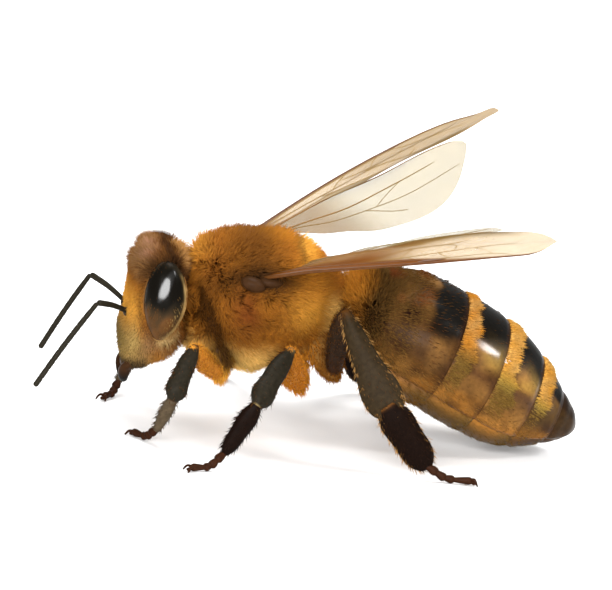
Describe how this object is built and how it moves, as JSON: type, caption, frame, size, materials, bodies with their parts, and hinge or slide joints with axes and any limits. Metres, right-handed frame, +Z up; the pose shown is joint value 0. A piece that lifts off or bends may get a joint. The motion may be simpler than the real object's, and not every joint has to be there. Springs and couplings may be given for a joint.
{
  "type": "honey bee",
  "caption": "Worker honey bee standing with raised wings, a still life-size museum model with its coat's outline in the solids.",
  "frame": {"origin": "middle of the bounding box, at floor level", "axes": "-X the way the bee faces, -Y its left, +Z up"},
  "size_m": [0.0146, 0.0118, 0.0083],
  "materials": {
    "fur": "dense golden brown fur",
    "shell": "glossy dark brown plates of the abdomen and legs",
    "eye": "glossy black",
    "feeler": "matt near-black",
    "wing": "thin clear amber membrane with brown veins",
    "foot": "dark red-brown"
  },
  "bodies": {
    "root": {"abdomen_segment_1": "shell", "abdomen_segment_2": "shell", "abdomen_segment_3": "shell", "abdomen_segment_4": "shell", "abdomen_segment_5": "shell", "abdomen_segment_6": "shell", "antenna_left_flagellum": "feeler", "antenna_left_scape": "feeler", "antenna_right_flagellum": "feeler", "antenna_right_scape": "feeler", "eye_left": "eye", "eye_right": "eye", "foreleg_left_basitarsus": "shell", "foreleg_left_coxa": "shell", "foreleg_left_femur": "shell", "foreleg_left_tarsus": "foot", "foreleg_left_tibia": "shell", "foreleg_right_basitarsus": "shell", "foreleg_right_coxa": "shell", "foreleg_right_femur": "shell", "foreleg_right_tarsus": "foot", "foreleg_right_tibia": "shell", "forewing_left": "wing", "forewing_right": "wing", "head": "fur", "hindleg_left_basitarsus": "shell", "hindleg_left_coxa": "shell", "hindleg_left_femur": "shell", "hindleg_left_tarsus": "foot", "hindleg_left_tibia": "shell", "hindleg_right_basitarsus": "shell", "hindleg_right_coxa": "shell", "hindleg_right_femur": "shell", "hindleg_right_tarsus": "foot", "hindleg_right_tibia": "shell", "hindwing_left": "wing", "hindwing_right": "wing", "mandible_left": "shell", "mandible_right": "shell", "mesothorax": "fur", "midleg_left_basitarsus": "shell", "midleg_left_coxa": "shell", "midleg_left_femur": "shell", "midleg_left_tarsus": "foot", "midleg_left_tibia": "shell", "midleg_right_basitarsus": "shell", "midleg_right_coxa": "shell", "midleg_right_femur": "shell", "midleg_right_tarsus": "foot", "midleg_right_tibia": "shell", "neck": "shell", "proboscis": "shell", "propodeum": "fur", "prothorax": "fur", "tegula_left": "shell", "tegula_right": "shell"}
  },
  "joints": []
}
